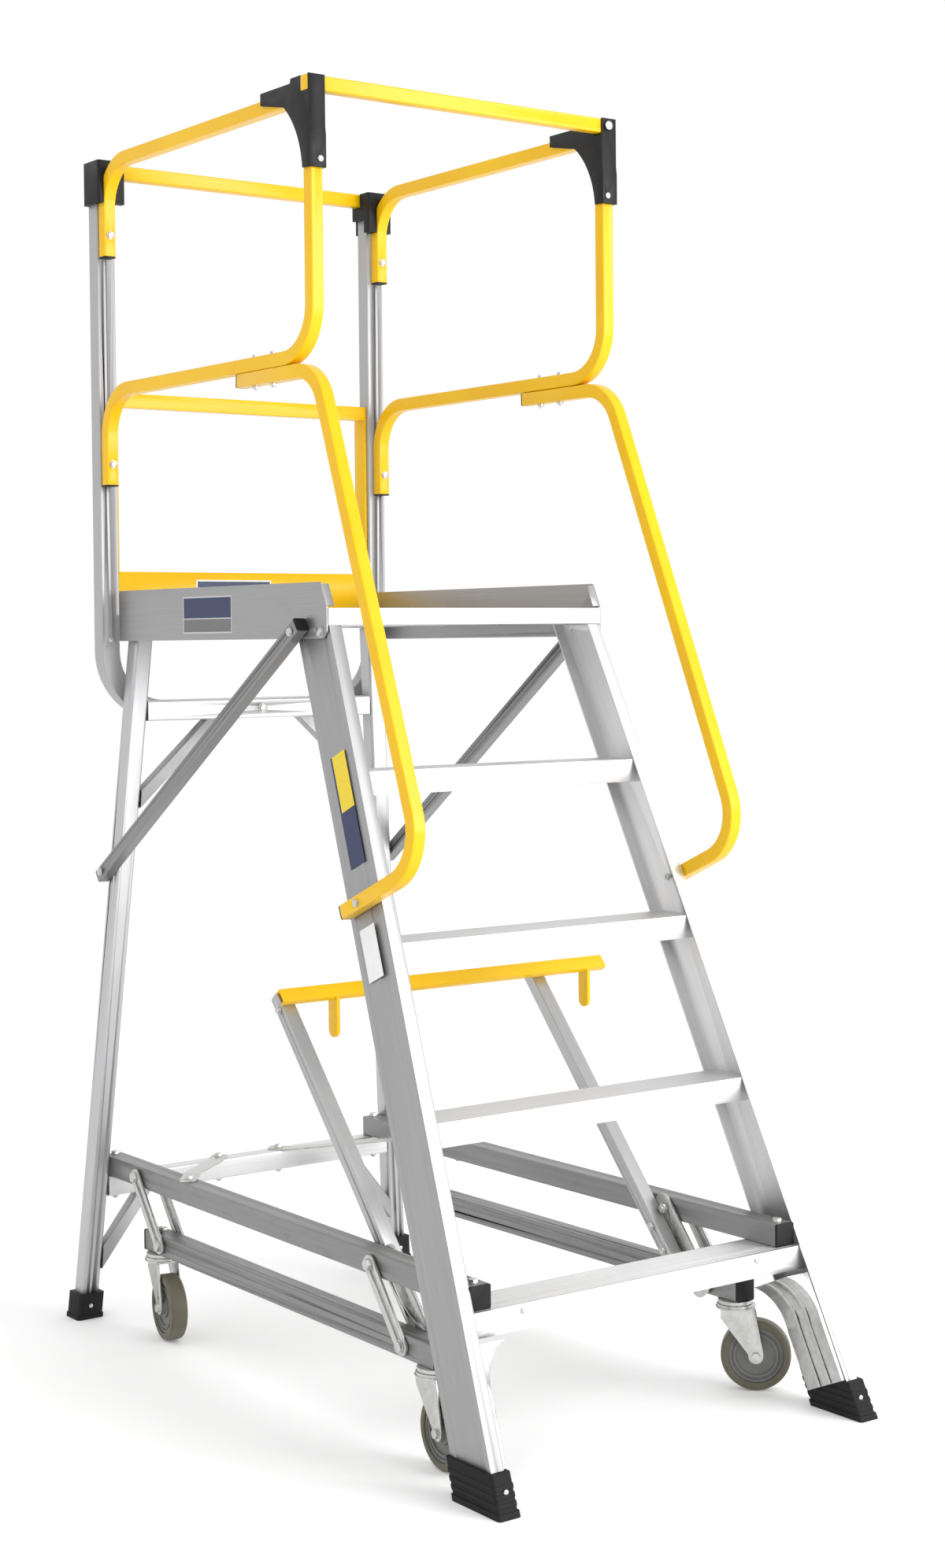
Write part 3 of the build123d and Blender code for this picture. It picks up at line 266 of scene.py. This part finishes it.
def printed(name, base):
    """Printed vinyl: slightly glossy, faint scuffs."""
    mat, tree, shader = new_material(name)
    scuff = noise(tree, aligned_coords(tree, (0, 0, 1), (1, 1, 1)), 160.0, 5.0)
    worn = tuple(c * 0.8 + 0.03 for c in base)
    tone = mixed(tree, ranged(tree, scuff, 0.5, 0.75, 0, 0.5), base, worn)
    tree.links.new(tone, shader.inputs["Base Color"])
    tree.links.new(ranged(tree, scuff, 0.3, 0.7, 0.3, 0.45), shader.inputs["Roughness"])
    return mat


def label(name, origin, right_way, up_way, outline, colour, lift):
    """A thin printed plate lying on a face, its outline in millimetres from origin."""
    across = Vector(right_way).normalized()
    upward = Vector(up_way).normalized()
    normal = across.cross(upward).normalized()
    base = [origin + (across * u + upward * v) / 1000 + normal * lift for u, v in outline]
    top = [point + normal * PLATE_THICK for point in base]
    count = len(base)
    faces = [tuple(range(count, 2 * count)), tuple(reversed(range(count)))]
    faces += [(i, (i + 1) % count, (i + 1) % count + count, i + count) for i in range(count)]
    mesh = bpy.data.meshes.new(name)
    mesh.from_pydata(base + top, [], faces)
    piece = bpy.data.objects.new(name, mesh)
    bpy.context.scene.collection.objects.link(piece)
    mesh.materials.append(printed("print_" + name, colour))
    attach(piece, "ladder_frame")


def rectangle(u0, v0, u1, v1):
    """Corners of an upright rectangle."""
    return [(u0, v0), (u1, v0), (u1, v1), (u0, v1)]


NAVY, GREY, SILVER = (0.008, 0.018, 0.085), (0.14, 0.14, 0.14), (0.55, 0.55, 0.56)
LEMON, PAPER = (0.80, 0.60, 0.01), (0.8, 0.8, 0.8)
# left side plate: silver backing, navy field above a grey one
side_spot = place(-305.5, 487, 1359.5)
TO_FRONT = (0, -1, 0)
label("plate_backing", side_spot, TO_FRONT, ALONG_Z, rectangle(0, 0, 179, 69), SILVER, BACKING_LIFT)
label("plate_navy", side_spot, TO_FRONT, ALONG_Z, rectangle(2.5, 28.5, 176.5, 66.5), NAVY, FIELD_LIFT)
label("plate_grey", side_spot, TO_FRONT, ALONG_Z, rectangle(2.5, 2.5, 176.5, 26.5), GREY, FIELD_LIFT)
# toe board: white backing with a navy field
toe_spot = place(-122, 756.9, 1402)
label("toe_backing", toe_spot, ALONG_X, ALONG_Z, rectangle(0, 0, 177, 68), PAPER, BACKING_LIFT)
label("toe_navy", toe_spot, ALONG_X, ALONG_Z, rectangle(3, 3, 174, 65), NAVY, FIELD_LIFT)
# left stile, on its recessed web: yellow field with a navy strip, navy field below it
stile_spot = place(-329.1, -118.2, 953.2)
ACROSS_STILE, UP_STILE = (0, -1, LEAN), (SPLAY, LEAN, 1)
label("stile_navy", stile_spot, ACROSS_STILE, UP_STILE, rectangle(0, 0, 47, 101), NAVY, STILE_LIFT)
label("stile_strip", stile_spot, ACROSS_STILE, UP_STILE, rectangle(0, 101, 5, 203), NAVY, STILE_LIFT)
label("stile_yellow", stile_spot, ACROSS_STILE, UP_STILE, rectangle(5.2, 101.3, 47, 203), LEMON, STILE_LIFT)
# small blank white label lower down; its origin is on the ribs, so it stands clear of the web
tag_spot = place(-343.3, -192.8, 769.6)
label("stile_tag", tag_spot, ACROSS_STILE, UP_STILE, rectangle(0, 0, 47, 92), PAPER, TAG_LIFT)

# ---------------------------------------------------------------- stage, light, camera
AIM = (0, 0, 1.2)
FLOOR_SIZE, FLOOR_DROP = 60, 0.0005


def area(name, spot, size, power):
    """A rectangular soft light aimed at the middle of the ladder."""
    data = bpy.data.lights.new(name, "AREA")
    data.shape = "RECTANGLE"
    data.size, data.size_y = size
    data.energy = power
    lamp = bpy.data.objects.new(name, data)
    bpy.context.scene.collection.objects.link(lamp)
    lamp.location = spot
    lamp.rotation_euler = (Vector(AIM) - Vector(spot)).to_track_quat("-Z", "Y").to_euler()


bpy.ops.mesh.primitive_plane_add(size=FLOOR_SIZE, location=(0, 0, -FLOOR_DROP))
floor = bpy.context.object
floor.name = "floor"
floor_mat, _, floor_shader = new_material("pale_floor")
floor_shader.inputs["Base Color"].default_value = (0.93, 0.93, 0.93, 1)
floor_shader.inputs["Roughness"].default_value = 0.7
floor_shader.inputs["Emission Color"].default_value = WHITE
floor_shader.inputs["Emission Strength"].default_value = 0.1
floor.data.materials.append(floor_mat)

world = bpy.data.worlds.new("studio")
bpy.context.scene.world = world
world.use_nodes = True
sky = world.node_tree.nodes["Background"]
sky.inputs["Color"].default_value = WHITE
sky.inputs["Strength"].default_value = 1.0
area("key", spot=(2.2, -5.0, 2.6), size=(3.2, 3.6), power=230)
area("fill", spot=(-5.0, -1.0, 3.0), size=(2.5, 2.5), power=5)
bpy.context.scene.view_settings.view_transform = "Standard"

# camera: turned from +Y toward +X, tipped down and rolled; its position is in the row frame, metres
YAW, PITCH, ROLL = (math.radians(v) for v in (36.213, 1.563, -0.548))
EYE = Vector((-2.5989 + CAD_X, -3.5700 + CAD_Y, 1.3388))
SENSOR, LENS, SHIFT = 36, 55.98, -0.0482
look = Vector((math.sin(YAW) * math.cos(PITCH), math.cos(YAW) * math.cos(PITCH), -math.sin(PITCH)))
right = Vector((math.cos(YAW), -math.sin(YAW), 0))
up = right.cross(look)
tilt_right = right * math.cos(ROLL) + up * math.sin(ROLL)
tilt_up = up * math.cos(ROLL) - right * math.sin(ROLL)
cam = bpy.data.cameras.new("camera")
cam.sensor_width = SENSOR
cam.lens = LENS
cam.shift_y = SHIFT
camera = bpy.data.objects.new("camera", cam)
bpy.context.scene.collection.objects.link(camera)
rows = Matrix((tilt_right, tilt_up, -look)).transposed().to_4x4()
rows.translation = EYE
camera.matrix_world = rows
bpy.context.scene.camera = camera
